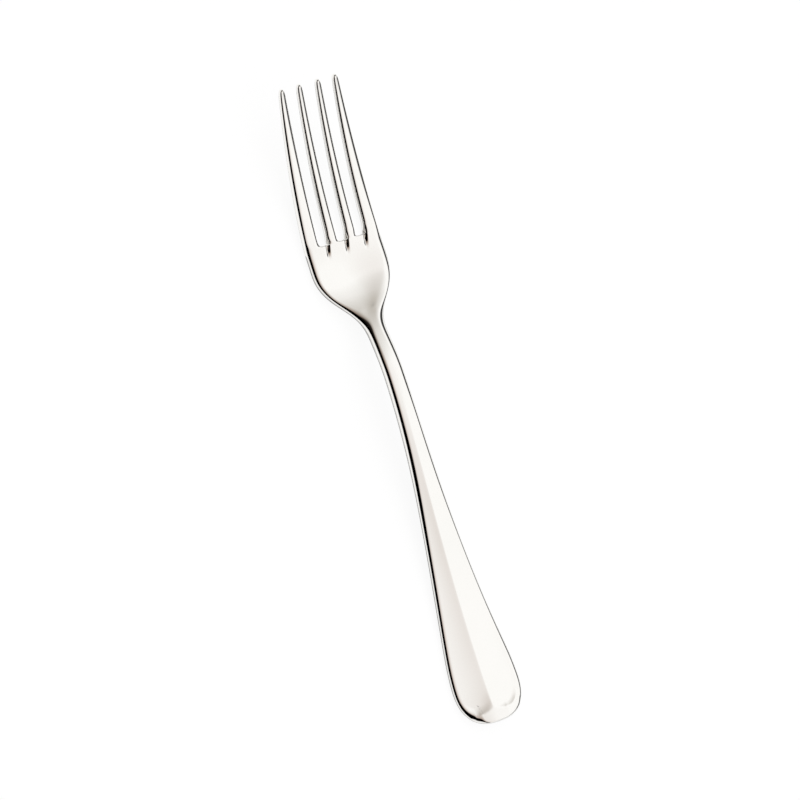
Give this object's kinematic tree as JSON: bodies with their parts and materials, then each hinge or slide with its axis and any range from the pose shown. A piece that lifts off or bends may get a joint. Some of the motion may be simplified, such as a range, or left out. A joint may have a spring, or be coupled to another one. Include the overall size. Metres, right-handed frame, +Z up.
{
  "type": "fruit fork",
  "caption": "Slim polished table fork with tapered tines that curl up from a flat palm, an arched stem and a spatula handle with a soft ridge and a turned-up round end.",
  "frame": {"origin": "on the table under the middle of the fork's box, as the fork lies face up", "axes": "+Y along the fork towards the tips of the tines, +Z up out of the fork's face, +X to the right with the tips pointing away"},
  "size_m": [0.0224, 0.18, 0.0173],
  "materials": {
    "polished_steel": "mirror polished stainless steel"
  },
  "bodies": {
    "root": {"handle": "polished_steel", "stem": "polished_steel", "head": "polished_steel", "outer_left_tine": "polished_steel", "inner_left_tine": "polished_steel", "inner_right_tine": "polished_steel", "outer_right_tine": "polished_steel"}
  },
  "joints": []
}
